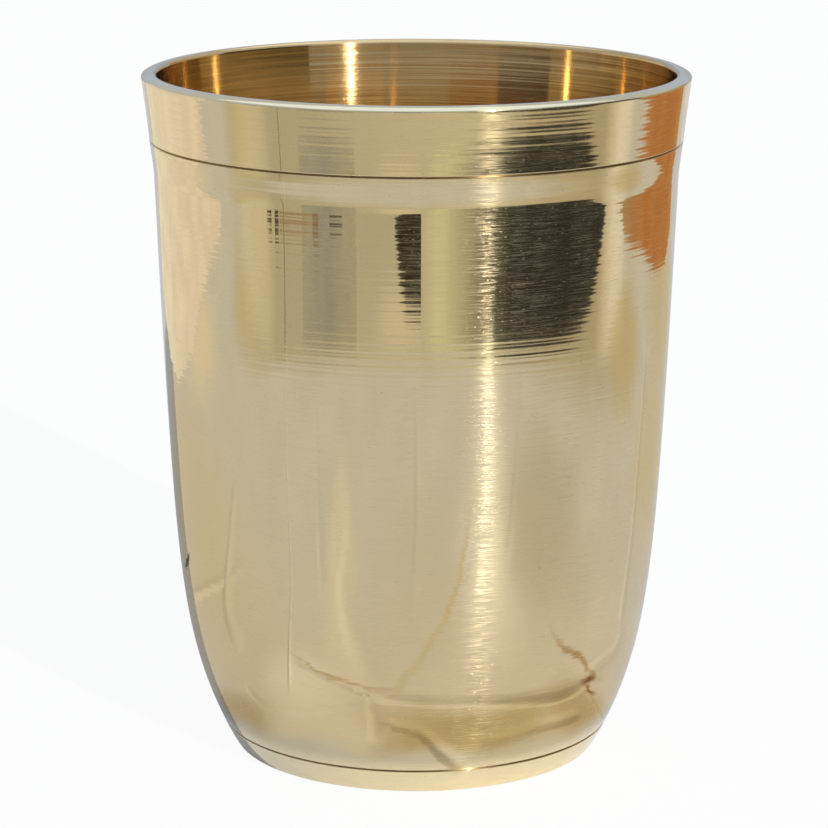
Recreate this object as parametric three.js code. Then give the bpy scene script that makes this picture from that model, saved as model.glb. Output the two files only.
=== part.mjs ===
// A heavy brass tumbler, cast thick and turned all over on a lathe.
// The body is open at both ends and closes on a separate turned base,
// which is let into its foot on a spigot and brazed all round.
// Millimetres, +Z up, origin on the axis at the level of the foot.
import * as THREE from 'three';

// Mouth: a thick lip, domed on top, that falls outward to a small round at its widest.
const TOTAL_HEIGHT = 101.1;
const MOUTH_DIAMETER = 80;
const LIP_WIDTH = 2.3;
const LIP_FALL = 0.7;
const LIP_OUTER_ROUND = 0.35;
const LIP_INNER_ROUND = 0.75;
const LIP_INNER_LEAN = 5;

// Band under the lip: it flares more and more to the mouth, and a fine turned groove
// marks its lower edge. Leans are in degrees from the vertical.
const BAND_TOP_LEAN = 8;
const BAND_FOOT_LEAN = 5.4;
const UNDER_GROOVE_LEAN = 6.4;
const GROOVE_BELOW_TOP = 9.7;
const GROOVE_DIAMETER = 77.88;
const GROOVE_WIDTH = 0.45;
const GROOVE_DEPTH = 0.3;

// Outside of the wall: diameter and lean at each height.
const NECK_BELOW_TOP = 18.1;
const NECK_DIAMETER = 76.45;
const NECK_LEAN = 2.1;
const WAIST_HEIGHT = 43;
const WAIST_DIAMETER = 72.85;
const WAIST_LEAN = 3.4;
const BELLY_HEIGHT = 22;
const BELLY_DIAMETER = 69;
const BELLY_LEAN = 8.5;
const HEEL_HEIGHT = 8;
const HEEL_DIAMETER = 61.9;
const HEEL_LEAN = 21;
const SEAM_HEIGHT = 3.75;
const SEAM_DIAMETER = 58.3;
const SEAM_LEAN = 24.5;
const FOOT_DIAMETER = 54.2;
const FOOT_LEAN = 33.5;
const FOOT_EDGE_ROUND = 0.4;

// Wall thickness, square to the axis: thinned in the wall, left heavy low down.
const NECK_WALL = 1.8;
const WAIST_WALL = 1.8;
const BELLY_WALL = 2.3;
const WELL_LEAN = 40;

// Base: its spigot makes the cup's floor, and its underside is turned hollow.
// The seat is the shoulder beside the spigot, and the foot ring is what it stands on.
const FLOOR_HEIGHT = 5.2;
const SEAT_WIDTH = 3.4;
const FOOT_RING_WIDTH = 5.1;
const HOLLOW_DEPTH = 0.8;
const HOLLOW_EDGE = 0.8;

// Braze: fills the joint between the two and stands a little inside the surface.
const BRAZE_THICKNESS = 0.3;
const BRAZE_RECESS = 0.15;

// Facets round the axis, the same on every piece so that the seats meet face to face,
// and the degrees that the outline may turn in one facet, on the long runs and on the edges.
const FACETS = 80;
const RUN_TURN = 2.5;
const EDGE_TURN = 15;

const slope = (degrees) => Math.tan(THREE.MathUtils.degToRad(degrees));
const station = (radius, height, lean) => ({ radius, height, lean });
const point = (radius, height) => new THREE.Vector2(radius, height);
const facetsFor = (turn, turnPerFacet) => Math.max(2, Math.ceil(Math.abs(turn) / turnPerFacet));

// The stations of the outside, from the foot to the mouth.
const foot = station(FOOT_DIAMETER / 2, 0, FOOT_LEAN);
const seam = station(SEAM_DIAMETER / 2, SEAM_HEIGHT, SEAM_LEAN);
const heel = station(HEEL_DIAMETER / 2, HEEL_HEIGHT, HEEL_LEAN);
const belly = station(BELLY_DIAMETER / 2, BELLY_HEIGHT, BELLY_LEAN);
const waist = station(WAIST_DIAMETER / 2, WAIST_HEIGHT, WAIST_LEAN);
const neck = station(NECK_DIAMETER / 2, TOTAL_HEIGHT - NECK_BELOW_TOP, NECK_LEAN);

// The groove's two edges stand on the band's face, half its width under and over its middle.
const grooveHeight = TOTAL_HEIGHT - GROOVE_BELOW_TOP;
const halfGroove = GROOVE_WIDTH / 2;
const edgeStep = slope(BAND_FOOT_LEAN) * halfGroove;
const grooveFoot = station(GROOVE_DIAMETER / 2 - edgeStep, grooveHeight - halfGroove, UNDER_GROOVE_LEAN);
const bandFoot = station(GROOVE_DIAMETER / 2 + edgeStep, grooveHeight + halfGroove, BAND_FOOT_LEAN);

// The middle of the small round at the lip's widest.
const lipOuterCentre = point(MOUTH_DIAMETER / 2 - LIP_OUTER_ROUND, TOTAL_HEIGHT - LIP_FALL);

// The joint: the braze lies between the base's shoulder and the body's foot.
const halfJoint = BRAZE_THICKNESS / 2;
const jointLean = slope(SEAM_LEAN) * halfJoint;
const shoulder = station(seam.radius - jointLean, seam.height - halfJoint, SEAM_LEAN);
const bodyFoot = station(seam.radius + jointLean, seam.height + halfJoint, SEAM_LEAN);
const spigotRadius = shoulder.radius - SEAT_WIDTH;
const boreRadius = spigotRadius + BRAZE_THICKNESS;

// A smooth run of the outline between two stations, without its first point.
function run(from, to) {
  const reach = (to.height - from.height) / 3;
  const curve = new THREE.CubicBezierCurve(
    point(from.radius, from.height),
    point(from.radius + slope(from.lean) * reach, from.height + reach),
    point(to.radius - slope(to.lean) * reach, to.height - reach),
    point(to.radius, to.height)
  );
  return curve.getPoints(facetsFor(to.lean - from.lean, RUN_TURN)).slice(1);
}

// A round arc of the outline, by its centre and the degrees of its ends from the +radius axis.
function arc(centre, radius, from, to) {
  const start = THREE.MathUtils.degToRad(from);
  const end = THREE.MathUtils.degToRad(to);
  const curve = new THREE.EllipseCurve(centre.x, centre.y, radius, radius, start, end, end < start);
  return curve.getPoints(facetsFor(to - from, EDGE_TURN));
}

// The groove is a V, and the band runs from its upper edge to the lip.
function grooveAndBand() {
  const outerRound = arc(lipOuterCentre, LIP_OUTER_ROUND, -BAND_TOP_LEAN, 0);
  const bandTop = station(outerRound[0].x, outerRound[0].y, BAND_TOP_LEAN);
  return [
    point(GROOVE_DIAMETER / 2 - GROOVE_DEPTH, grooveHeight),
    point(bandFoot.radius, bandFoot.height),
    ...run(bandFoot, bandTop),
  ];
}

// The lip: a small round at its widest, a flat dome up to the crown, then a round into the mouth.
function lip() {
  const crownRadius = MOUTH_DIAMETER / 2 - LIP_WIDTH + LIP_INNER_ROUND;
  const across = lipOuterCentre.x - crownRadius;
  const domeRadius =
    (across ** 2 + LIP_FALL ** 2 - LIP_OUTER_ROUND ** 2) / (2 * (LIP_FALL - LIP_OUTER_ROUND));
  const domeLean = THREE.MathUtils.radToDeg(Math.asin(across / (domeRadius - LIP_OUTER_ROUND)));
  const domeCentre = point(crownRadius, TOTAL_HEIGHT - domeRadius);
  const roundCentre = point(crownRadius, TOTAL_HEIGHT - LIP_INNER_ROUND);
  return [
    ...arc(lipOuterCentre, LIP_OUTER_ROUND, -BAND_TOP_LEAN, 90 - domeLean).slice(1),
    ...arc(domeCentre, domeRadius, 90 - domeLean, 90).slice(1),
    ...arc(roundCentre, LIP_INNER_ROUND, 90, 180).slice(1),
  ];
}

// A solid of revolution about +Z from an outline of radius and height.
// The outline goes up the outside, and closes on itself or ends on the axis.
function turned(name, outline, finish) {
  const geometry = new THREE.LatheGeometry(outline, FACETS);
  geometry.rotateX(Math.PI / 2);
  const material = new THREE.MeshStandardMaterial({ ...finish, metalness: 1 });
  const mesh = new THREE.Mesh(geometry, material);
  mesh.name = name;
  return mesh;
}

// The body: outside up to the lip, inside down to the well, then the bore for the spigot.
function makeBody() {
  const mouth = station(MOUTH_DIAMETER / 2 - LIP_WIDTH, TOTAL_HEIGHT - LIP_INNER_ROUND, LIP_INNER_LEAN);
  const innerNeck = { ...neck, radius: neck.radius - NECK_WALL };
  const innerWaist = { ...waist, radius: waist.radius - WAIST_WALL };
  const innerBelly = { ...belly, radius: belly.radius - BELLY_WALL };
  const well = station(boreRadius, FLOOR_HEIGHT, WELL_LEAN);
  const start = point(bodyFoot.radius, bodyFoot.height);
  const outline = [
    start,
    ...run(bodyFoot, heel),
    ...run(heel, belly),
    ...run(belly, waist),
    ...run(waist, neck),
    ...run(neck, grooveFoot),
    ...grooveAndBand(),
    ...lip(),
    ...run(mouth, innerNeck),
    ...run(innerNeck, innerWaist),
    ...run(innerWaist, innerBelly),
    ...run(innerBelly, well),
    point(boreRadius, bodyFoot.height),
    start,
  ];
  return turned('body', outline, { color: 0xd2ba80, roughness: 0.2 });
}

// The base: hollow underside, narrow flat foot, leaning side, shoulder and spigot.
function makeBase() {
  const hollowRadius = foot.radius - FOOT_RING_WIDTH;
  const side = station(foot.radius + slope(FOOT_LEAN) * FOOT_EDGE_ROUND, FOOT_EDGE_ROUND, FOOT_LEAN);
  const footEdge = new THREE.QuadraticBezierCurve(
    point(foot.radius - FOOT_EDGE_ROUND, foot.height),
    point(foot.radius, foot.height),
    point(side.radius, side.height)
  );
  const outline = [
    point(0, HOLLOW_DEPTH),
    point(hollowRadius - HOLLOW_EDGE, HOLLOW_DEPTH),
    point(hollowRadius, foot.height),
    ...footEdge.getPoints(facetsFor(90 - FOOT_LEAN, EDGE_TURN)),
    ...run(side, shoulder),
    point(spigotRadius, shoulder.height),
    point(spigotRadius, FLOOR_HEIGHT),
    point(0, FLOOR_HEIGHT),
  ];
  return turned('base', outline, { color: 0xdac48f, roughness: 0.24 });
}

// The braze: a flat ring under the body's foot, and a thin sleeve up round the spigot.
function makeBrazeRing() {
  const rimRadius = shoulder.radius - BRAZE_RECESS;
  const start = point(spigotRadius, shoulder.height);
  const outline = [
    start,
    point(rimRadius, shoulder.height),
    point(rimRadius, bodyFoot.height),
    point(boreRadius, bodyFoot.height),
    point(boreRadius, FLOOR_HEIGHT),
    point(spigotRadius, FLOOR_HEIGHT),
    start,
  ];
  return turned('braze_ring', outline, { color: 0xa98f57, roughness: 0.45 });
}

const tumbler = new THREE.Group();
tumbler.add(makeBody(), makeBase(), makeBrazeRing());

export default tumbler;
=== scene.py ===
import math

import bpy
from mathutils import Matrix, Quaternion, Vector


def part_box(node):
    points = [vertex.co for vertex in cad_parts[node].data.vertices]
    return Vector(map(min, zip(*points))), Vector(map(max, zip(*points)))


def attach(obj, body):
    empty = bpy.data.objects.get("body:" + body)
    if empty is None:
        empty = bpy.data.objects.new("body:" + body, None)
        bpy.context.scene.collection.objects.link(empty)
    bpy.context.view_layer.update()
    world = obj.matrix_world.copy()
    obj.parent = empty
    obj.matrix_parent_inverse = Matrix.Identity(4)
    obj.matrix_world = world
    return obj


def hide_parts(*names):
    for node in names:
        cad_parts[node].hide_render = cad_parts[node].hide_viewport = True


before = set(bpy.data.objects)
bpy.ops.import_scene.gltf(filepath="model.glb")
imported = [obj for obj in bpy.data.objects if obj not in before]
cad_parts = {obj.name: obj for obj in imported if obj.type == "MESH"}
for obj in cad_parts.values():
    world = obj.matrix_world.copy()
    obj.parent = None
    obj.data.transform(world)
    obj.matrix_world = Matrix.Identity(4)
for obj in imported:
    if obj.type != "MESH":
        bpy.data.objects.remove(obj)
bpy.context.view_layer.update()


# Camera
# A long lens half a metre from the tumbler, looking down a little on its mouth.
mm = 0.001
VIEW_ELEVATION = math.radians(13.22)
VIEW_DISTANCE = 484.9 * mm
VIEW_HEIGHT = 50 * mm
LENS_IN_PIXELS = 3252
PICTURE_WIDTH = 828
AXIS_RIGHT_OF_CENTRE = 1.9
AIM_ABOVE_CENTRE = 2.4
CAMERA_ROLL = math.radians(0.1)

camera_data = bpy.data.cameras.new("camera")
camera_data.sensor_width = 36
camera_data.lens = camera_data.sensor_width * LENS_IN_PIXELS / PICTURE_WIDTH
camera_data.shift_x = -AXIS_RIGHT_OF_CENTRE / PICTURE_WIDTH
camera_data.shift_y = -AIM_ABOVE_CENTRE / PICTURE_WIDTH
camera_data.clip_start = 0.01
camera_data.clip_end = 50
camera = bpy.data.objects.new("camera", camera_data)
bpy.context.collection.objects.link(camera)
aim = Vector((0, 0, VIEW_HEIGHT))
away = Vector((0, -math.cos(VIEW_ELEVATION), math.sin(VIEW_ELEVATION)))
camera.location = aim + away * VIEW_DISTANCE
straight = (-away).to_track_quat("-Z", "Y")
camera.rotation_euler = (straight @ Quaternion((0, 0, 1), CAMERA_ROLL)).to_euler()
bpy.context.scene.camera = camera


# Body
# The cast shell, turned all over: a thick domed lip, a flared band with a fine groove under it,
# a long wall that leans in slightly, and a lower part that curves in to the foot. Polished brass
# outside, with darker, duller brass in the groove. Inside it is left with the tool's fine rings
# and painted darker and browner, as painted shade.
TOTAL_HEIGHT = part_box("body")[1].z
MOUTH_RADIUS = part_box("body")[1].x
LIP_WIDTH = 2.3 * mm
LIP_FALL = 0.7 * mm
LIP_OUTER_ROUND = 0.35 * mm
LIP_INNER_ROUND = 0.75 * mm
LIP_INNER_LEAN = 5
BAND_TOP_LEAN = 8
BAND_FOOT_LEAN = 5.4
GROOVE_BELOW_TOP = 9.7 * mm
GROOVE_RADIUS = 38.94 * mm
GROOVE_WIDTH = 0.36 * mm
GROOVE_DEPTH = 0.3 * mm
GROOVE_UPPER_EDGE = 0.15 * mm
GROOVE_LOWER_EDGE = 0.05 * mm
UNDER_GROOVE_LEAN = 6.4
NECK_BELOW_TOP = 15.2 * mm
NECK_RADIUS = 38.32 * mm
NECK_LEAN = 2.1
NECK_WALL = 1.8 * mm
WAIST_HEIGHT = 43 * mm
WAIST_RADIUS = 36.425 * mm
WAIST_LEAN = 3.4
WAIST_WALL = 1.8 * mm
BELLY_HEIGHT = 22 * mm
BELLY_RADIUS = 34.5 * mm
BELLY_LEAN = 8.5
BELLY_WALL = 2.3 * mm
HEEL_HEIGHT = 8 * mm
HEEL_RADIUS = 30.95 * mm
HEEL_LEAN = 21
FLOOR_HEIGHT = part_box("base")[1].z
WELL_LEAN = 40
SEAM_HEIGHT = 3.75 * mm
SEAM_RADIUS = 29.15 * mm
SEAM_LEAN = 24.5
SEAM_EDGE = 0.12 * mm
BRAZE_THICKNESS = 0.3 * mm
SEAT_WIDTH = 3.4 * mm
STEPS_ROUND = 360
STEPS_PER_EDGE = 6
LARGEST_CUT = 0.45
FLAT_SHARE = 0.3
LONGEST_FLAT = 0.04 * mm
ON_THE_AXIS = 0.0001 * mm


def slope(degrees):
    return math.tan(math.radians(degrees))


def station(radius, height, lean):
    return {"radius": radius, "height": height, "lean": lean}


def thinner(place, wall):
    return station(place["radius"] - wall, place["height"], place["lean"])


def run(start, end, steps):
    """The smooth outline from one station to the next, without its first point."""
    reach = (end["height"] - start["height"]) / 3
    r = [
        start["radius"],
        start["radius"] + slope(start["lean"]) * reach,
        end["radius"] - slope(end["lean"]) * reach,
        end["radius"],
    ]
    z = [start["height"], start["height"] + reach, end["height"] - reach, end["height"]]
    points = []
    for i in range(1, steps + 1):
        t = i / steps
        weights = ((1 - t) ** 3, 3 * t * (1 - t) ** 2, 3 * t**2 * (1 - t), t**3)
        points.append(
            (sum(w * v for w, v in zip(weights, r)), sum(w * v for w, v in zip(weights, z)), 0)
        )
    return points


def arc(centre, radius, start, end, steps):
    """Points of a round arc, by the degrees of its ends from the outward direction."""
    points = []
    for i in range(steps + 1):
        a = math.radians(start + (end - start) * i / steps)
        points.append((centre[0] + radius * math.cos(a), centre[1] + radius * math.sin(a), 0))
    return points


def eased(outline, closed):
    """Rounds each corner of the outline that has an edge radius, with a short flat on each side."""
    points = []
    count = len(outline)
    for i, (r, z, edge) in enumerate(outline):
        if edge == 0 or (not closed and i in (0, count - 1)):
            points.append(Vector((r, z)))
            continue
        at = Vector((r, z))
        back = Vector(outline[i - 1][:2]) - at
        ahead = Vector(outline[(i + 1) % count][:2]) - at
        turn = math.pi - back.angle(ahead)
        shorter = min(back.length, ahead.length)
        cut = min(edge * math.tan(turn / 2), LARGEST_CUT * shorter)
        first = at + back.normalized() * cut
        last = at + ahead.normalized() * cut
        flat = min(FLAT_SHARE * cut, LONGEST_FLAT)
        points.append(first + back.normalized() * flat)
        middle = (first + last) / 2
        weight = math.cos(turn / 2)
        for k in range(STEPS_PER_EDGE + 1):
            t = k / STEPS_PER_EDGE
            a, b, c = (1 - t) ** 2, 2 * weight * t * (1 - t), t**2
            points.append((first * a + at * b + last * c) / (a + b + c))
        points.append(last + ahead.normalized() * flat)
    return points


def turned(name, outline, closed):
    """A mesh turned round the Z axis from an outline of (radius, height, edge radius) points.

    A closed outline makes a ring. An open one starts and ends on the axis."""
    profile = eased(outline, closed)
    vertices = []
    rows = []
    for p in profile:
        if p.x < ON_THE_AXIS:
            rows.append([len(vertices)] * STEPS_ROUND)
            vertices.append((0, 0, p.y))
            continue
        rows.append(list(range(len(vertices), len(vertices) + STEPS_ROUND)))
        for k in range(STEPS_ROUND):
            a = 2 * math.pi * k / STEPS_ROUND
            vertices.append((p.x * math.cos(a), p.x * math.sin(a), p.y))
    faces = []
    pairs = list(zip(rows, rows[1:]))
    if closed:
        pairs.append((rows[-1], rows[0]))
    for low, high in pairs:
        for k in range(STEPS_ROUND):
            n = (k + 1) % STEPS_ROUND
            corners = []
            for v in (low[k], low[n], high[n], high[k]):
                if v not in corners:
                    corners.append(v)
            faces.append(corners)
    mesh = bpy.data.meshes.new(name)
    mesh.from_pydata(vertices, [], faces)
    mesh.polygons.foreach_set("use_smooth", [True] * len(mesh.polygons))
    mesh.update()
    piece = bpy.data.objects.new(name, mesh)
    bpy.context.collection.objects.link(piece)
    return piece


groove_height = TOTAL_HEIGHT - GROOVE_BELOW_TOP
half_groove = GROOVE_WIDTH / 2
edge_step = slope(BAND_FOOT_LEAN) * half_groove
groove_foot = station(GROOVE_RADIUS - edge_step, groove_height - half_groove, UNDER_GROOVE_LEAN)
band_foot = station(GROOVE_RADIUS + edge_step, groove_height + half_groove, BAND_FOOT_LEAN)

joint_lean = slope(SEAM_LEAN) * BRAZE_THICKNESS / 2
body_foot = station(SEAM_RADIUS + joint_lean, SEAM_HEIGHT + BRAZE_THICKNESS / 2, SEAM_LEAN)
shoulder = station(SEAM_RADIUS - joint_lean, SEAM_HEIGHT - BRAZE_THICKNESS / 2, SEAM_LEAN)
spigot_radius = shoulder["radius"] - SEAT_WIDTH
bore_radius = spigot_radius + BRAZE_THICKNESS
heel = station(HEEL_RADIUS, HEEL_HEIGHT, HEEL_LEAN)
belly = station(BELLY_RADIUS, BELLY_HEIGHT, BELLY_LEAN)
waist = station(WAIST_RADIUS, WAIST_HEIGHT, WAIST_LEAN)
neck = station(NECK_RADIUS, TOTAL_HEIGHT - NECK_BELOW_TOP, NECK_LEAN)
inner_belly = thinner(belly, BELLY_WALL)
inner_waist = thinner(waist, WAIST_WALL)
inner_neck = thinner(neck, NECK_WALL)
well = station(bore_radius, FLOOR_HEIGHT, WELL_LEAN)

crown_radius = MOUTH_RADIUS - LIP_WIDTH + LIP_INNER_ROUND
outer_centre = (MOUTH_RADIUS - LIP_OUTER_ROUND, TOTAL_HEIGHT - LIP_FALL)
across = outer_centre[0] - crown_radius
dome_radius = (across**2 + LIP_FALL**2 - LIP_OUTER_ROUND**2) / (2 * (LIP_FALL - LIP_OUTER_ROUND))
dome_lean = math.degrees(math.asin(across / (dome_radius - LIP_OUTER_ROUND)))
outer_round = arc(outer_centre, LIP_OUTER_ROUND, -BAND_TOP_LEAN, 90 - dome_lean, 16)
dome = arc((crown_radius, TOTAL_HEIGHT - dome_radius), dome_radius, 90 - dome_lean, 90, 12)
inner_round = arc((crown_radius, TOTAL_HEIGHT - LIP_INNER_ROUND), LIP_INNER_ROUND, 90, 180, 16)
band_top = station(outer_round[0][0], outer_round[0][1], BAND_TOP_LEAN)
mouth = station(MOUTH_RADIUS - LIP_WIDTH, TOTAL_HEIGHT - LIP_INNER_ROUND, LIP_INNER_LEAN)
outside = [
    (body_foot["radius"], body_foot["height"], SEAM_EDGE),
    *run(body_foot, heel, 16),
    *run(heel, belly, 40),
    *run(belly, waist, 32),
    *run(waist, neck, 36),
    *run(neck, groove_foot, 24)[:-1],
    (groove_foot["radius"], groove_foot["height"], GROOVE_LOWER_EDGE),
    (GROOVE_RADIUS - GROOVE_DEPTH, groove_height, GROOVE_LOWER_EDGE),
    (band_foot["radius"], band_foot["height"], GROOVE_UPPER_EDGE),
    *run(band_foot, band_top, 24)[:-1],
    *outer_round,
    *dome[1:],
]
inside = [
    *inner_round[1:],
    *run(mouth, inner_neck, 16),
    *run(inner_neck, inner_waist, 24),
    *run(inner_waist, inner_belly, 24),
    *run(inner_belly, well, 30),
    (bore_radius, body_foot["height"], 0),
]
body = turned("turned_body", outside + inside, closed=True)


def node_tree(material):
    material.use_nodes = True
    tree = material.node_tree
    tree.nodes.clear()
    return tree


def math_node(tree, operation, a, b=0.0):
    """A math node whose inputs are sockets or numbers, and its output socket."""
    node = tree.nodes.new("ShaderNodeMath")
    node.operation = operation
    for socket, value in zip(node.inputs, (a, b)):
        if isinstance(value, bpy.types.NodeSocket):
            tree.links.new(value, socket)
        else:
            socket.default_value = value
    return node.outputs[0]


def vector_node(tree, operation, a, b=None, scale=None):
    node = tree.nodes.new("ShaderNodeVectorMath")
    node.operation = operation
    for socket, value in zip(node.inputs, (a, b)):
        if isinstance(value, bpy.types.NodeSocket):
            tree.links.new(value, socket)
        elif value is not None:
            socket.default_value = value
    if scale is not None:
        if isinstance(scale, bpy.types.NodeSocket):
            tree.links.new(scale, node.inputs["Scale"])
        else:
            node.inputs["Scale"].default_value = scale
    return node.outputs["Value" if operation in ("DOT_PRODUCT", "LENGTH") else "Vector"]


def noise_node(tree, vector, detail=2.0, roughness=0.5):
    node = tree.nodes.new("ShaderNodeTexNoise")
    node.inputs["Scale"].default_value = 1.0
    node.inputs["Detail"].default_value = detail
    node.inputs["Roughness"].default_value = roughness
    tree.links.new(vector, node.inputs["Vector"])
    return node.outputs["Fac"]


def group_with(name, inputs, outputs):
    """A shader node group with named inputs (type, default) and outputs."""
    group = bpy.data.node_groups.new(name, "ShaderNodeTree")
    for label, (kind, default) in inputs.items():
        socket = group.interface.new_socket(label, in_out="INPUT", socket_type=kind)
        socket.default_value = default
    for label, kind in outputs.items():
        group.interface.new_socket(label, in_out="OUTPUT", socket_type=kind)
    return group, group.nodes.new("NodeGroupInput"), group.nodes.new("NodeGroupOutput")


# Rings are laid out by height less a share of the radius, so that level faces get them too.
RING_LEAN = 0.7
UNSCRATCHED = 0.75
NICK_LIMIT = 0.735


def turning_lines_group():
    """The rings that the lathe tool and the polishing cloth leave: each feed mark tilts the
    surface a little down and up again, finer lines less, and hair scratches scatter light.

    Of each kind of ring, around says how short the marks are, and shift sets it apart."""
    number = "NodeSocketFloat"
    inputs = {
        "Feed": (number, 0.00057),
        "Feed tilt": (number, 0.004),
        "Line pitch": (number, 0.0002),
        "Line tilt": (number, 0.002),
        "Scratch pitch": (number, 0.000008),
        "Scratch tilt": (number, 0.02),
        "Scratch share": (number, 0.1),
        "Nick pitch": (number, 0.0001),
        "Wave pitch": (number, 0.006),
        "Wave tilt": (number, 0.002),
    }
    outputs = {"Normal": "NodeSocketVector", "Scratches": number, "Lines": number}
    group, entry, leave = group_with("turning lines", inputs, outputs)

    def times(a, b):
        return math_node(group, "MULTIPLY", a, b)

    place = group.nodes.new("ShaderNodeTexCoord").outputs["Object"]
    split = group.nodes.new("ShaderNodeSeparateXYZ")
    group.links.new(place, split.inputs[0])
    x, y, z = split.outputs
    radius = math_node(group, "SQRT", math_node(group, "ADD", times(x, x), times(y, y)))
    along = math_node(group, "SUBTRACT", z, times(radius, RING_LEAN))

    def ring_noise(pitch, around, shift, detail):
        combine = group.nodes.new("ShaderNodeCombineXYZ")
        group.links.new(times(x, around), combine.inputs[0])
        group.links.new(times(y, around), combine.inputs[1])
        stretched = math_node(group, "DIVIDE", along, pitch)
        group.links.new(math_node(group, "ADD", stretched, shift), combine.inputs[2])
        return noise_node(group, combine.outputs[0], detail)

    def centred(value, amount):
        even = times(math_node(group, "SUBTRACT", value, 0.5), 4.0)
        return times(even, amount)

    def feed_marks(feed, shift, around):
        wander = times(ring_noise(times(feed, 7.0), around=6, shift=shift, detail=1), 3.0)
        turns = math_node(group, "ADD", math_node(group, "DIVIDE", along, feed), wander)
        swing = math_node(group, "SINE", times(turns, 2 * math.pi))
        uneven = ring_noise(times(feed, 2.5), around, shift=7 * shift, detail=2)
        strength = times(uneven, entry.outputs["Feed tilt"])
        return times(times(times(swing, swing), swing), times(strength, 2.0))

    feed = entry.outputs["Feed"]
    close_marks = feed_marks(feed, shift=3.1, around=60)
    wide_marks = feed_marks(times(feed, 2.2), shift=4.7, around=35)
    marks = math_node(group, "ADD", close_marks, wide_marks)
    fine = ring_noise(entry.outputs["Line pitch"], around=25, shift=5.3, detail=2)
    lines = centred(fine, entry.outputs["Line tilt"])
    broad = ring_noise(entry.outputs["Wave pitch"], around=20, shift=7.7, detail=1)
    waves = centred(broad, entry.outputs["Wave tilt"])
    choice = ring_noise(entry.outputs["Scratch pitch"], around=250, shift=13.3, detail=0)
    scratched = times(entry.outputs["Scratch share"], 0.5)
    limit = math_node(group, "SUBTRACT", UNSCRATCHED, scratched)
    short = ring_noise(entry.outputs["Nick pitch"], around=1800, shift=41.7, detail=1)
    nicks = math_node(group, "GREATER_THAN", short, NICK_LIMIT)
    chosen = math_node(group, "MAXIMUM", math_node(group, "GREATER_THAN", choice, limit), nicks)
    deep = ring_noise(entry.outputs["Scratch pitch"], around=60, shift=31.9, detail=1)
    depth = centred(deep, entry.outputs["Scratch tilt"])
    tilt = math_node(group, "ADD", math_node(group, "ADD", marks, lines), waves)
    tilt = math_node(group, "ADD", tilt, times(chosen, depth))

    geometry = group.nodes.new("ShaderNodeNewGeometry")
    ring_way = group.nodes.new("ShaderNodeCombineXYZ")
    group.links.new(times(y, -1.0), ring_way.inputs[0])
    group.links.new(x, ring_way.inputs[1])
    sideways = vector_node(group, "NORMALIZE", ring_way.outputs[0])
    upward = vector_node(group, "CROSS_PRODUCT", geometry.outputs["Normal"], sideways)
    lifted = vector_node(group, "SCALE", upward, scale=tilt)
    tilted = vector_node(group, "ADD", geometry.outputs["Normal"], lifted)
    group.links.new(vector_node(group, "NORMALIZE", tilted), leave.inputs["Normal"])
    group.links.new(chosen, leave.inputs["Scratches"])
    group.links.new(fine, leave.inputs["Lines"])
    return group


SPECKS_START = 0.70
SPECKS_FULL = 0.78


def tarnish_group():
    """Soft clouds of slightly browner metal, and small dull specks, as handling leaves them."""
    colour = "NodeSocketColor"
    number = "NodeSocketFloat"
    inputs = {
        "Metal": (colour, (0.9, 0.8, 0.5, 1)),
        "Warm": (colour, (0.8, 0.6, 0.3, 1)),
        "Cloud size": (number, 0.02),
        "Cloud amount": (number, 0.3),
        "Speck size": (number, 0.0012),
        "Speck amount": (number, 0.3),
    }
    outputs = {"Color": colour, "Dullness": number}
    group, entry, leave = group_with("tarnish", inputs, outputs)
    place = group.nodes.new("ShaderNodeTexCoord").outputs["Object"]

    def cloud(size, detail):
        scale = math_node(group, "DIVIDE", 1.0, size)
        return noise_node(group, vector_node(group, "SCALE", place, scale=scale), detail)

    large = cloud(entry.outputs["Cloud size"], detail=4)
    clouds = math_node(group, "MULTIPLY", large, entry.outputs["Cloud amount"])
    speck = group.nodes.new("ShaderNodeMapRange")
    group.links.new(cloud(entry.outputs["Speck size"], detail=2), speck.inputs["Value"])
    speck.inputs["From Min"].default_value = SPECKS_START
    speck.inputs["From Max"].default_value = SPECKS_FULL
    specks = math_node(group, "MULTIPLY", speck.outputs["Result"], entry.outputs["Speck amount"])
    dull = math_node(group, "MINIMUM", math_node(group, "ADD", clouds, specks), 1.0)
    mix = group.nodes.new("ShaderNodeMix")
    mix.data_type = "RGBA"
    group.links.new(dull, mix.inputs["Factor"])
    group.links.new(entry.outputs["Metal"], mix.inputs["A"])
    group.links.new(entry.outputs["Warm"], mix.inputs["B"])
    group.links.new(mix.outputs["Result"], leave.inputs["Color"])
    group.links.new(dull, leave.inputs["Dullness"])
    return group


turning_lines = turning_lines_group()
tarnish = tarnish_group()


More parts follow.
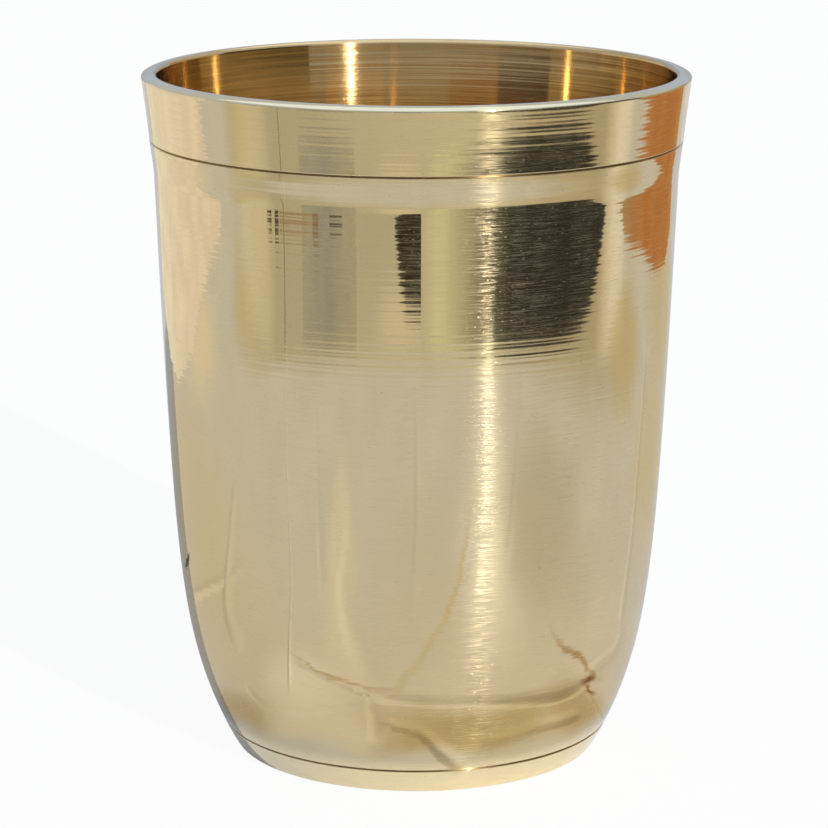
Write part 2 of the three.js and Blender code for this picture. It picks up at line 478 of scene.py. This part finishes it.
def brass(name, metal, warm, lines, clouds, polish, hair=0.3, shade=0.0):
    """Turned brass: metal and warm are its clean and browned colours, polish its clean and
    dull roughness, hair that of its hair scratches, and shade how far fine lines darken it."""
    material = bpy.data.materials.new(name)
    tree = node_tree(material)
    shader = tree.nodes.new("ShaderNodeBsdfPrincipled")
    output = tree.nodes.new("ShaderNodeOutputMaterial")
    tree.links.new(shader.outputs["BSDF"], output.inputs["Surface"])
    shader.inputs["Metallic"].default_value = 1.0
    shader.inputs["Anisotropic"].default_value = 1.0
    shader.inputs["Anisotropic Rotation"].default_value = 0.25
    round_axis = tree.nodes.new("ShaderNodeTangent")
    round_axis.direction_type = "RADIAL"
    round_axis.axis = "Z"
    tree.links.new(round_axis.outputs["Tangent"], shader.inputs["Tangent"])
    colours = tree.nodes.new("ShaderNodeGroup")
    colours.node_tree = tarnish
    colours.inputs["Metal"].default_value = (*metal, 1)
    colours.inputs["Warm"].default_value = (*warm, 1)
    for label, value in clouds.items():
        colours.inputs[label].default_value = value
    rings = tree.nodes.new("ShaderNodeGroup")
    rings.node_tree = turning_lines
    for label, value in lines.items():
        rings.inputs[label].default_value = value
    gloss = tree.nodes.new("ShaderNodeMapRange")
    tree.links.new(colours.outputs["Dullness"], gloss.inputs["Value"])
    gloss.inputs["To Min"].default_value = polish[0]
    gloss.inputs["To Max"].default_value = polish[1]
    worn = tree.nodes.new("ShaderNodeMix")
    tree.links.new(rings.outputs["Scratches"], worn.inputs["Factor"])
    tree.links.new(gloss.outputs["Result"], worn.inputs["A"])
    worn.inputs["B"].default_value = hair
    tree.links.new(worn.outputs["Result"], shader.inputs["Roughness"])
    darker = math_node(tree, "MULTIPLY", rings.outputs["Lines"], -shade)
    strength = math_node(tree, "ADD", darker, 1 + 0.5 * shade)
    colour = vector_node(tree, "SCALE", colours.outputs["Color"], scale=strength)
    tree.links.new(colour, shader.inputs["Base Color"])
    tree.links.new(rings.outputs["Normal"], shader.inputs["Normal"])
    return material


polished = brass(
    "polished brass",
    metal=(0.88, 0.73, 0.44),
    warm=(0.80, 0.58, 0.28),
    lines={"Feed tilt": 0.005, "Line tilt": 0.002, "Scratch share": 0.08, "Wave tilt": 0.0015},
    clouds={"Cloud size": 0.03, "Cloud amount": 0.2, "Speck amount": 0.2},
    polish=(0.025, 0.08),
)
# The inside's colours are painted darker and browner than the outside's: painted shade inside the
# cup, over its rougher turned finish.
bored_and_shaded = brass(
    "brass inside",
    metal=(0.80, 0.58, 0.28),
    warm=(0.60, 0.36, 0.13),
    lines={"Feed tilt": 0.01, "Line tilt": 0.02, "Scratch share": 0.05, "Wave tilt": 0.004},
    clouds={"Cloud size": 0.012, "Cloud amount": 0.7, "Speck amount": 0.3},
    polish=(0.07, 0.15),
    hair=0.25,
    shade=0.8,
)
# Darker, duller brass for the faces in the groove.
groove_brass = brass(
    "brass in the groove",
    metal=(0.40, 0.29, 0.14),
    warm=(0.20, 0.12, 0.05),
    lines={"Feed tilt": 0.01, "Line tilt": 0.03, "Scratch share": 0.3, "Wave tilt": 0.004},
    clouds={"Cloud size": 0.004, "Cloud amount": 0.7, "Speck amount": 0.3},
    polish=(0.25, 0.5),
)
for finish in (polished, bored_and_shaded, groove_brass):
    body.data.materials.append(finish)
INWARD = -0.3
DARK_GROOVE_SHARE = 0.6
# Inward faces above the floor take the inside brass with its painted shade, and the faces in the
# groove take the darker groove brass.
for face in body.data.polygons:
    middle = face.center
    outward = Vector((middle.x, middle.y, 0))
    at_surface = outward.length > GROOVE_RADIUS - 2 * GROOVE_DEPTH
    if face.normal.dot(outward.normalized()) < INWARD and middle.z > FLOOR_HEIGHT:
        face.material_index = 1
    elif abs(middle.z - groove_height) < DARK_GROOVE_SHARE * half_groove and at_surface:
        face.material_index = 2
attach(body, "root")
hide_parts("body")


# Base
# The turned disc that closes the foot: a leaning side under the seam, a narrow ring to stand on,
# a hollow underside, and a spigot whose top is the floor of the cup.
FOOT_RADIUS = 27.1 * mm
FOOT_LEAN = 33.5
FOOT_EDGE = 0.4 * mm
FOOT_RING_WIDTH = 5.1 * mm
HOLLOW_DEPTH = 0.8 * mm

hollow_radius = FOOT_RADIUS - FOOT_RING_WIDTH
foot = station(FOOT_RADIUS, 0, FOOT_LEAN)
base_outline = [
    (0, HOLLOW_DEPTH, 0),
    (hollow_radius - HOLLOW_DEPTH, HOLLOW_DEPTH, 0.3 * mm),
    (hollow_radius, 0, 0.2 * mm),
    (FOOT_RADIUS, 0, FOOT_EDGE),
    *run(foot, shoulder, 16)[:-1],
    (shoulder["radius"], shoulder["height"], 0.06 * mm),
    (spigot_radius, shoulder["height"], 0),
    (spigot_radius, FLOOR_HEIGHT, 0.1 * mm),
    (0, FLOOR_HEIGHT, 0),
]
base = turned("turned_base", base_outline, closed=False)
base.data.materials.append(polished)
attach(base, "root")
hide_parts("base")


# Braze ring
# The filler that ran into the joint between body and base, turned back inside the surface.
# It shows outside as a fine dull line.
BRAZE_RECESS = 0.15 * mm

braze_outline = [
    (spigot_radius, shoulder["height"], 0),
    (shoulder["radius"] - BRAZE_RECESS, shoulder["height"], 0),
    (shoulder["radius"] - BRAZE_RECESS, body_foot["height"], 0),
    (bore_radius, body_foot["height"], 0),
    (bore_radius, FLOOR_HEIGHT, 0),
    (spigot_radius, FLOOR_HEIGHT, 0),
]
braze = turned("braze_line", braze_outline, closed=True)
filler = brass(
    "braze filler",
    metal=(0.45, 0.33, 0.16),
    warm=(0.2, 0.13, 0.06),
    lines={"Feed tilt": 0.01, "Line tilt": 0.05, "Scratch share": 0.5, "Wave tilt": 0.01},
    clouds={"Cloud size": 0.002, "Cloud amount": 0.9, "Speck amount": 0.6},
    polish=(0.4, 0.7),
)
braze.data.materials.append(filler)
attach(braze, "root")
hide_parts("braze_ring")


# Floor cloth
# A plain pale cloth that the tumbler stands on, rippled and a little stained, with light and shade
# painted on it where the metal mirrors it. The camera sees it white. Past the table's near edge it
# dips, which only shows in the polished metal.
FLOOR_REACH = 2000
FLOOR_STEP = 1.5
DIP_START = 256
DIP_SLOPE = 0.31
DIP_DEPTH = 60
DIP_LEFT_END = (-80, -62)
DIP_RIGHT_END = (100, 84)
RIPPLE_SCALE = 0.03
RIPPLE_SWAY = 16.0
MOTTLE_SCALE = 0.02
CLOTH_DULL = (0.57, 0.57, 0.57)
CLOTH_PALE = (0.72, 0.71, 0.73)
# Painted shade colours for the dip and the right side.
CLOTH_DIP_SHADE = (0.50, 0.47, 0.38)
CLOTH_RIGHT_SHADE = (0.45, 0.40, 0.30)
# The painted streak of light and the painted brightening round the foot.
GLOW_AZIMUTH = 30.5
GLOW_WIDTH = 18.0
GLOW_GAIN = 0.5
FOOT_GLOW_GAIN = 0.4
SEEN_GREY = (0.8, 0.8, 0.8)
SEEN_WHITE_SHARE = 0.93


def smooth_step(value, start, end):
    t = min(1, max(0, (value - start) / (end - start)))
    return t * t * (3 - 2 * t)


def on_floor(azimuth, radius, lift=0.0):
    """A place on the cloth in mm, by degrees right of the camera and distance from the axis."""
    a = math.radians(azimuth)
    turn = (azimuth + 180) % 360 - 180
    share = smooth_step(turn, *DIP_LEFT_END) * smooth_step(turn, *DIP_RIGHT_END)
    drop = DIP_DEPTH * math.tanh(DIP_SLOPE * max(0, radius - DIP_START) / DIP_DEPTH)
    return (radius * math.sin(a), -radius * math.cos(a), lift - share * drop)


def sheet(name, rows, paint):
    """A smooth sheet from rows of places in mm."""
    mesh = bpy.data.meshes.new(name)
    count = len(rows[0])
    vertices = [Vector(place) * mm for row in rows for place in row]
    faces = []
    for i in range(len(rows) - 1):
        for k in range(count - 1):
            first = i * count + k
            faces.append([first, first + 1, first + count + 1, first + count])
    mesh.from_pydata(vertices, [], faces)
    mesh.polygons.foreach_set("use_smooth", [True] * len(mesh.polygons))
    mesh.update()
    mesh.materials.append(paint)
    card = bpy.data.objects.new(name, mesh)
    bpy.context.collection.objects.link(card)
    return card


floor_paint = bpy.data.materials.new("floor cloth")
weave = node_tree(floor_paint)
in_metres = weave.nodes.new("ShaderNodeTexCoord").outputs["Object"]
place = vector_node(weave, "SCALE", in_metres, scale=1 / mm)
ripple = weave.nodes.new("ShaderNodeTexNoise")
ripple.inputs["Scale"].default_value = RIPPLE_SCALE
ripple.inputs["Detail"].default_value = 4
weave.links.new(place, ripple.inputs["Vector"])
shifted = vector_node(weave, "SUBTRACT", ripple.outputs["Color"], (0.5, 0.5, 0.5))
swayed = vector_node(weave, "SCALE", shifted, scale=RIPPLE_SWAY)
wavy = vector_node(weave, "ADD", place, swayed)


def product(a, b):
    return math_node(weave, "MULTIPLY", a, b)


def along(origin, direction):
    """Distance of the cloth's points from the origin, measured along a direction, in mm."""
    offset = vector_node(weave, "SUBTRACT", wavy, (*origin, 0))
    return vector_node(weave, "DOT_PRODUCT", offset, (*direction, 0))


def band_mask(value, start, end):
    """Rises smoothly from 0 at start to 1 at end."""
    node = weave.nodes.new("ShaderNodeMapRange")
    node.interpolation_type = "SMOOTHSTEP"
    weave.links.new(value, node.inputs["Value"])
    node.inputs["From Min"].default_value = start
    node.inputs["From Max"].default_value = end
    return node.outputs["Result"]


def patch_mask(centre, half_size, degrees, edge):
    """A soft oval: 1 inside, 0 outside, with an edge given as a share of its size."""
    a = math.radians(degrees)
    u = math_node(weave, "DIVIDE", along(centre, (math.cos(a), math.sin(a))), half_size[0])
    v = math_node(weave, "DIVIDE", along(centre, (-math.sin(a), math.cos(a))), half_size[1])
    squares = math_node(weave, "ADD", product(u, u), product(v, v))
    return band_mask(math_node(weave, "SQRT", squares), 1 + edge, 1 - edge)


def toned(colour, mask, tone):
    mix = weave.nodes.new("ShaderNodeMix")
    mix.data_type = "RGBA"
    weave.links.new(mask, mix.inputs["Factor"])
    weave.links.new(colour, mix.inputs["A"])
    mix.inputs["B"].default_value = (*tone, 1)
    return mix.outputs["Result"]


mottle = weave.nodes.new("ShaderNodeTexNoise")
mottle.inputs["Scale"].default_value = MOTTLE_SCALE
mottle.inputs["Detail"].default_value = 5
weave.links.new(wavy, mottle.inputs["Vector"])
tint = weave.nodes.new("ShaderNodeMix")
tint.data_type = "RGBA"
weave.links.new(mottle.outputs["Fac"], tint.inputs["Factor"])
tint.inputs["A"].default_value = (*CLOTH_DULL, 1)
tint.inputs["B"].default_value = (*CLOTH_PALE, 1)
cloth = tint.outputs["Result"]

# Painted shade and painted light on the cloth, and a few stains, each with its middle, half sizes,
# turn, soft edge and colour. The darker places round the heel, the thin dark lines beside the
# folds, the duller places behind to the left and in front to the right, and the grey place in
# front are painted shade. The paler places are painted light, and the bluish ring round the foot
# and the warm places behind to the right are painted tints of sky and bounced light. The small
# brown spots by the heel are stains. Two warm, browner places lie farther out to either side, and
# a small dark mark lies behind to the left.
for centre, half_size, degrees, edge, tone in [
    ((270, 50), (60, 55), 0, 0.5, (0.58, 0.52, 0.36)),
    ((-300, -90), (60, 50), 0, 0.5, (0.58, 0.52, 0.36)),
    ((12, -34), (24, 9), 18, 0.5, (0.47, 0.42, 0.30)),
    ((36, -14), (9, 14), 30, 0.5, (0.48, 0.42, 0.32)),
    ((-34, -8), (8, 12), 10, 0.5, (0.48, 0.42, 0.34)),
    ((-120, 90), (70, 110), 20, 0.6, (0.65, 0.60, 0.51)),
    ((115, -85), (55, 45), -30, 0.6, (0.56, 0.54, 0.51)),
    ((-38, -36), (14, 12), 0, 0.7, (0.76, 0.74, 0.76)),
    ((0, 0), (34, 34), 0, 0.08, (0.55, 0.60, 0.72)),
    ((-264, 79), (50, 45), 0, 0.6, (0.78, 0.72, 0.60)),
    ((-60, -104), (58, 11), 57, 0.5, (0.73, 0.70, 0.66)),
    ((4, -112), (30, 46), 0, 0.5, (0.62, 0.61, 0.60)),
    ((22, -92), (46, 2.0), -54, 0.9, (0.60, 0.53, 0.40)),
    ((4, -37), (12, 2.5), -20, 0.8, (0.46, 0.40, 0.29)),
    ((-30, -47), (18, 0.7), -13, 0.9, (0.47, 0.38, 0.26)),
    ((56, -24), (14, 1.2), 110, 0.9, (0.42, 0.31, 0.19)),
    ((130, 128), (70, 60), 45, 0.6, (0.64, 0.59, 0.47)),
    ((215, 250), (95, 85), 0, 0.6, (0.63, 0.56, 0.41)),
    ((49, -13), (4.0, 1.6), 60, 0.5, (0.22, 0.10, 0.05)),
    ((45, -11), (4.0, 1.0), 110, 0.6, (0.32, 0.17, 0.10)),
    ((-78, 68), (9, 3), 30, 0.5, (0.10, 0.07, 0.06)),
]:
    cloth = toned(cloth, patch_mask(centre, half_size, degrees, edge), tone)

# Painted shade: the dip and the right side are painted darker, with a warmer place far in front in
# the dip.
from_axis = vector_node(weave, "LENGTH", wavy)
sides = weave.nodes.new("ShaderNodeSeparateXYZ")
weave.links.new(wavy, sides.inputs[0])
dip_shade = product(band_mask(from_axis, 235, 275), band_mask(sides.outputs["Y"], -20, -150))
cloth = toned(cloth, dip_shade, CLOTH_DIP_SHADE)
cloth = toned(cloth, patch_mask((-49, -436), (70, 60), 0, 0.6), (0.66, 0.59, 0.47))
near_side = band_mask(sides.outputs["Y"], 60, -60)
right_shade = product(band_mask(sides.outputs["X"], 170, 290), near_side)
cloth = toned(cloth, right_shade, CLOTH_RIGHT_SHADE)

# Painted light: the streak of sunlight that the tumbler throws back on the cloth, and a ring round
# its foot, are painted as brighter cloth.
glow_turn = math.radians(GLOW_AZIMUTH)
glow_axis = (math.sin(glow_turn), -math.cos(glow_turn))
glow_side = (glow_axis[1], -glow_axis[0])
aside = math_node(weave, "DIVIDE", along((0, 0), glow_side), GLOW_WIDTH)
glow = math_node(weave, "POWER", math.e, product(product(aside, aside), -1.0))
along_glow = along((0, 0), glow_axis)
glow = product(glow, band_mask(along_glow, 50, 110))
glow = product(glow, band_mask(along_glow, 330, 200))
distance = vector_node(weave, "LENGTH", place)
foot_glow = product(band_mask(distance, 33, 30), FOOT_GLOW_GAIN)
painted_light_gain = math_node(weave, "ADD", product(glow, GLOW_GAIN), foot_glow)
cloth = vector_node(weave, "SCALE", cloth, scale=math_node(weave, "ADD", painted_light_gain, 1.0))

ray = weave.nodes.new("ShaderNodeLightPath")
seen = weave.nodes.new("ShaderNodeMix")
seen.data_type = "RGBA"
weave.links.new(ray.outputs["Is Camera Ray"], seen.inputs["Factor"])
weave.links.new(cloth, seen.inputs["A"])
seen.inputs["B"].default_value = (*SEEN_GREY, 1)
matte = weave.nodes.new("ShaderNodeBsdfDiffuse")
weave.links.new(seen.outputs["Result"], matte.inputs["Color"])
white = weave.nodes.new("ShaderNodeEmission")
white.inputs["Color"].default_value = (1, 1, 1, 1)
bleached = weave.nodes.new("ShaderNodeMixShader")
weave.links.new(product(ray.outputs["Is Camera Ray"], SEEN_WHITE_SHARE), bleached.inputs[0])
weave.links.new(matte.outputs[0], bleached.inputs[1])
weave.links.new(white.outputs[0], bleached.inputs[2])
cloth_output = weave.nodes.new("ShaderNodeOutputMaterial")
weave.links.new(bleached.outputs[0], cloth_output.inputs["Surface"])

floor_radii = [0.1, *range(30, 211, 30), *range(230, 601, 10), 700, 900, FLOOR_REACH]
floor_turns = [FLOOR_STEP * k for k in range(round(360 / FLOOR_STEP) + 1)]
sheet("floor", [[on_floor(turn, r) for turn in floor_turns] for r in floor_radii], floor_paint)


# Folds in the cloth
# Soft ridges and furrows that the cloth lies in, of the same cloth. They are too low to matter to
# the tumbler's shadow and are left for its metal to show, as the lines that run up its wall.
FOLD_LIFT = 0.04
FOLD_LEAN = 0.35
POINTS_TO_EDGE = 6


def only_in_metal(card):
    """Leaves the card to be seen by the metal's reflections alone."""
    card.visible_camera = False
    card.visible_diffuse = False
    card.visible_shadow = False
    card.visible_transmission = False
    card.visible_volume_scatter = False
    return card


def smooth_line(places, steps=12):
    """A smooth line through the places."""
    ends = [places[0], *places, places[-1]]
    line = []
    for a, b, c, d in zip(ends, ends[1:], ends[2:], ends[3:]):
        for k in range(steps):
            t = k / steps
            line.append(tuple(
                0.5 * (2 * q + (r - p) * t + (2 * p - 5 * q + 4 * r - s) * t**2
                       + (3 * q - p - 3 * r + s) * t**3)
                for p, q, r, s in zip(a, b, c, d)
            ))
    line.append(places[-1])
    return line


def fold(name, places, width, height):
    """A soft ridge in the cloth, or a furrow if the height is negative. It thins out at its ends,
    swells a little along its length, and leans to one side."""
    line = smooth_line(places)
    base_lift = FOLD_LIFT + max(0, -height)
    rows = []
    for i, (x, y) in enumerate(line):
        before, after = line[max(0, i - 1)], line[min(len(line) - 1, i + 1)]
        length = max(math.dist(before, after), 1e-6)
        side = ((before[1] - after[1]) / length, (after[0] - before[0]) / length)
        t = i / (len(line) - 1)
        fade = smooth_step(t, 0, 0.15) * smooth_step(t, 1, 0.85)
        swell = fade * (0.8 + 0.3 * math.sin(7 * t + len(name)))
        row = []
        for k in range(-POINTS_TO_EDGE, POINTS_TO_EDGE + 1):
            s = k / POINTS_TO_EDGE
            peak = 0.5 + 0.5 * math.cos(math.pi * (s - FOLD_LEAN * (1 - s * s)))
            rise = height * swell * peak * (1 - s**6)
            row.append((x + side[0] * s * width, y + side[1] * s * width, base_lift + rise))
        rows.append(row)
    return only_in_metal(sheet(name, rows, floor_paint))


# Each fold's line over the cloth in mm, its half width and its height.
for name, places, width, height in [
    ("fold_left_long",
     [(-232, -164), (-183, -123), (-93, -71), (-64, -51), (-48, -40), (-34, -31)], 1.4, 0.22),
    ("fold_left_short", [(-148, -164), (-100, -118), (-56, -76)], 5.0, -0.2),
    ("fold_v_left",
     [(-75, -150), (-57, -118), (-50, -95), (-36, -77), (-19, -62), (-12, -52)], 9.0, -0.5),
    ("fold_v_right", [(63, -128), (37, -102), (23, -83), (7, -69), (-6, -53)], 7.0, 0.8),
    ("fold_right", [(113, -85), (75, -54), (61, -35), (52, -15)], 6.0, -0.4),
    ("fold_far_right", [(300, 190), (100, 36), (61, 14), (52, -5), (46, -13)], 6.0, 0.6),
    ("fold_heel_left", [(-47, -43), (-33, -48), (-18, -50), (-9, -49)], 3.0, 0.4),
    ("fold_heel",
     [(-14, -49), (1, -49), (16, -45), (29, -36), (38, -24), (47, -12)], 3.2, -0.9),
    ("fold_heel_right", [(49, -15), (43, -12), (38, -8), (30, 1)], 2.0, 0.5),
    ("fold_knot", [(-15, -53), (-13, -47), (-9, -40), (-8, -35)], 3.0, -0.25),
    ("fold_foot", [(-10, -42), (1, -40), (6, -34), (9, -30)], 2.6, 0.6),
    ("fold_foot_right", [(14, -34), (27, -27), (36, -14)], 3.0, 0.5),
    ("fold_foot_left", [(-45, -14), (-37, -20), (-32, -27), (-23, -38), (-15, -46)], 2.0, -0.35),
    ("fold_side", [(-160, -20), (-131, -11), (-86, -4), (-60, -17)], 7.0, 0.7),
    ("fold_middle", [(2, -230), (4, -150), (0, -80)], 7.0, 0.4),
    ("fold_near_right", [(185, -180), (120, -130), (70, -90)], 6.0, -0.6),
    ("fold_behind", [(-60, 60), (-90, 20), (-110, -30)], 6.0, 0.6),
]:
    fold(name, places, width, height)


# Sheets laid on the cloth
# Flat sheets past the cloth's near part that glow with their own colours, each with an uneven near
# edge. No lamp lights them and only the metal sees them: as painted reflections they give the wall
# and the band their dark, olive, grey and amber places, and the bright sheet is painted sunlit
# cloth.
SHEET_ROWS = 15
SHEET_STEP = 1.5
SHEET_SPREAD = 1.5
BLOTCH_SCALE = 25.0
BLOTCH_GAIN = 0.5
DIMMEST = 0.75


def lit(name, stops):
    """Paint that glows with its own colour, changing over azimuths (degrees, colour)."""
    paint = bpy.data.materials.new(name)
    tree = node_tree(paint)
    shader = tree.nodes.new("ShaderNodeEmission")
    output = tree.nodes.new("ShaderNodeOutputMaterial")
    tree.links.new(shader.outputs[0], output.inputs["Surface"])
    shader.inputs["Color"].default_value = (*stops[0][1], 1)
    place = tree.nodes.new("ShaderNodeTexCoord").outputs["Object"]
    if len(stops) > 1:
        split = tree.nodes.new("ShaderNodeSeparateXYZ")
        tree.links.new(place, split.inputs[0])
        back = math_node(tree, "MULTIPLY", split.outputs["Y"], -1.0)
        turn = math_node(tree, "ARCTAN2", split.outputs["X"], back)
        first, last = stops[0][0], stops[-1][0]
        share = math_node(tree, "DIVIDE", turn, math.radians(last - first))
        share = math_node(tree, "SUBTRACT", share, first / (last - first))
        ramp = tree.nodes.new("ShaderNodeValToRGB")
        tree.links.new(share, ramp.inputs["Fac"])
        while len(ramp.color_ramp.elements) < len(stops):
            ramp.color_ramp.elements.new(0.5)
        for element, (degrees, colour) in zip(ramp.color_ramp.elements, stops):
            element.position = (degrees - first) / (last - first)
            element.color = (*colour, 1)
        tree.links.new(ramp.outputs["Color"], shader.inputs["Color"])
    blotches = noise_node(tree, vector_node(tree, "SCALE", place, scale=BLOTCH_SCALE), detail=5)
    uneven = math_node(tree, "MULTIPLY", blotches, BLOTCH_GAIN)
    tree.links.new(math_node(tree, "ADD", uneven, DIMMEST), shader.inputs["Strength"])
    return paint


def laid(name, edge, far, stops, lift=0.6):
    """A sheet laid on the cloth beyond a near edge of (azimuth, radius) places."""
    rows = [[] for _ in range(SHEET_ROWS)]
    for (a0, r0), (a1, r1) in zip(edge, edge[1:]):
        steps = max(1, round(abs(a1 - a0) / SHEET_STEP))
        for k in range(steps + 1):
            a = a0 + (a1 - a0) * k / steps
            near = r0 + (r1 - r0) * k / steps
            for i, row in enumerate(rows):
                share = (i / (SHEET_ROWS - 1)) ** SHEET_SPREAD
                row.append(on_floor(a, near + (far - near) * share, lift))
    return only_in_metal(sheet(name, rows, lit(name + " paint", stops)))


laid(
    "olive_sheet",
    [(2, 395), (5, 372), (9, 352), (14, 350), (22, 345)],
    900,
    [(2, (0.55, 0.53, 0.45)), (8, (0.63, 0.65, 0.49)), (22, (0.63, 0.65, 0.49))],
)
# The dark sheet grows paler towards its left end: a painted highlight of the sun's streak on the
# metal.
laid(
    "dark_sheet",
    [(13, 362), (20, 351), (26, 346), (38, 346), (47, 348), (56, 366), (67, 398), (75, 440),
     (80, 490), (84, 560), (88, 640), (92, 740), (94, 800)],
    1200,
    [(13, (0.60, 0.60, 0.45)), (20, (0.43, 0.42, 0.33)), (26, (0.22, 0.22, 0.19)),
     (33, (0.085, 0.09, 0.08)), (42, (0.040, 0.043, 0.042)), (52, (0.034, 0.036, 0.036)),
     (94, (0.032, 0.033, 0.032))],
    lift=1.4,
)
laid(
    "small_dark_sheet",
    [(-9, 600), (-6.5, 500), (-4, 455), (2, 445)],
    1500,
    [(0, (0.03, 0.028, 0.02))],
    lift=2.2,
)
laid(
    "grey_sheet",
    [(-49, 388), (-44, 362), (-36, 350), (-28, 345), (-25, 358)],
    900,
    [(-49, (0.38, 0.39, 0.37)), (-38, (0.32, 0.33, 0.33)), (-25, (0.41, 0.40, 0.35))],
)
for name, start, end, near, far, colour in [
    ("post_1", -65.5, -63.4, 600, 700, (0.08, 0.06, 0.03)),
    ("post_2", -61.8, -60.0, 595, 700, (0.05, 0.04, 0.02)),
    ("brown_rail", -59.5, -44.0, 602, 680, (0.34, 0.27, 0.18)),
    ("post_3", -44.0, -41.5, 580, 720, (0.26, 0.19, 0.14)),
    ("post_4", -36.5, -31.0, 605, 650, (0.05, 0.045, 0.04)),
    # A thin dark strip: a painted shadow line of a fold in the cloth.
    ("crease", -57.7, -57.2, 262, 1000, (0.30, 0.26, 0.18)),
]:
    laid(name, [(start, near), (end, near)], far, [(0, colour)], lift=2.6)
laid(
    "amber_sheet",
    [(91, 640), (94, 500), (99, 385), (105, 372), (112, 372), (119, 362), (126, 354),
     (133, 360), (140, 372), (146, 420)],
    900,
    [(91, (0.26, 0.22, 0.14)), (99, (0.40, 0.27, 0.14)), (110, (0.46, 0.20, 0.07)),
     (138, (0.46, 0.20, 0.07)), (146, (0.5, 0.26, 0.1))],
)
# Painted light: the bright sheet stands in for sunlit cloth.
laid(
    "bright_sheet",
    [(-89, 430), (-91, 380), (-95, 366), (-104, 325), (-113, 268), (-122, 246), (-131, 238),
     (-142, 262), (-152, 340)],
    1000,
    [(-152, (0.84, 0.82, 0.70)), (-118, (0.80, 0.76, 0.75)), (-89, (0.80, 0.74, 0.74))],
)
laid(
    "far_sheet",
    [(-125, 700), (-150, 600), (-180, 560), (-210, 520)],
    1800,
    [(0, (0.70, 0.68, 0.70))],
)


# Boards and sky card
# Boards on edge round the table and a pale card overhead, glowing with their own colours though no
# lamp lights them. Only the metal sees them, as painted reflections: the flared band, the lip and
# the inside of the cup mirror them, and the bluish sky card stands in for the sky's light.
BOARD_STEP = 5


def upright(name, start, end, radius, low, high, colour):
    """A board that stands on edge round the table, from one azimuth to another."""
    count = max(2, round(abs(end - start) / BOARD_STEP))
    rows = []
    for height in (low, high):
        row = []
        for k in range(count + 1):
            a = math.radians(start + (end - start) * k / count)
            row.append((radius * math.sin(a), -radius * math.cos(a), height))
        rows.append(row)
    return only_in_metal(sheet(name, rows, lit(name + " paint", [(0, colour)])))


upright("dark_board", 52, 104, 900, 30, 520, (0.04, 0.038, 0.035))
upright("low_board", -75, 52, 1200, 10, 190, (0.22, 0.2, 0.17))
upright("amber_board", 104, 150, 1100, 40, 420, (0.42, 0.32, 0.15))
upright("pale_board", -150, -95, 1100, 40, 420, (0.74, 0.74, 0.72))
overhead = [[(-700, -700, 1100), (700, -700, 1100)], [(-700, 900, 1100), (700, 900, 1100)]]
only_in_metal(sheet("sky_card", overhead, lit("sky card paint", [(0, (0.92, 1.1, 1.5))])))


# Room light and sun
# Soft light from all round, bluer low down and a white backdrop to the camera, and one low sun
# from the right.
ROOM_LEVEL = (0.40, 0.41, 0.42)
ROOM_LOW_SKY = (0.45, 0.56, 0.78)
ROOM_TOP = (0.60, 0.62, 0.65)
LOW_SKY_HEIGHT = 0.2
SUN_AZIMUTH = math.radians(32)
SUN_ELEVATION = math.radians(21)
SUN_ENERGY = 3.4
SUN_ANGLE = math.radians(0.6)
SUN_COLOUR = (1.0, 0.97, 0.92)
SUN_DISTANCE = 1.5

world = bpy.data.worlds.new("room")
bpy.context.scene.world = world
world.use_nodes = True
room_tree = world.node_tree
room_tree.nodes.clear()
sky_way = room_tree.nodes.new("ShaderNodeSeparateXYZ")
generated = room_tree.nodes.new("ShaderNodeTexCoord").outputs["Generated"]
room_tree.links.new(generated, sky_way.inputs[0])
sky = room_tree.nodes.new("ShaderNodeValToRGB")
room_tree.links.new(sky_way.outputs["Z"], sky.inputs["Fac"])
level, top = sky.color_ramp.elements
level.position = 0.0
level.color = (*ROOM_LEVEL, 1)
top.position = 1.0
top.color = (*ROOM_TOP, 1)
sky.color_ramp.elements.new(LOW_SKY_HEIGHT).color = (*ROOM_LOW_SKY, 1)
room = room_tree.nodes.new("ShaderNodeBackground")
room_tree.links.new(sky.outputs["Color"], room.inputs["Color"])
backdrop = room_tree.nodes.new("ShaderNodeBackground")
world_ray = room_tree.nodes.new("ShaderNodeLightPath")
backed = room_tree.nodes.new("ShaderNodeMixShader")
room_tree.links.new(world_ray.outputs["Is Camera Ray"], backed.inputs[0])
room_tree.links.new(room.outputs[0], backed.inputs[1])
room_tree.links.new(backdrop.outputs[0], backed.inputs[2])
world_output = room_tree.nodes.new("ShaderNodeOutputWorld")
room_tree.links.new(backed.outputs[0], world_output.inputs["Surface"])

level_way = Vector((math.sin(SUN_AZIMUTH), -math.cos(SUN_AZIMUTH), 0)) * math.cos(SUN_ELEVATION)
sun_way = level_way + Vector((0, 0, math.sin(SUN_ELEVATION)))
sun_lamp = bpy.data.lights.new("low_sun", "SUN")
sun_lamp.energy = SUN_ENERGY
sun_lamp.angle = SUN_ANGLE
sun_lamp.color = SUN_COLOUR
sun = bpy.data.objects.new("low_sun", sun_lamp)
bpy.context.collection.objects.link(sun)
sun.location = aim + sun_way * SUN_DISTANCE
sun.rotation_euler = (-sun_way).to_track_quat("-Z", "Y").to_euler()
bpy.context.scene.view_settings.view_transform = "Standard"
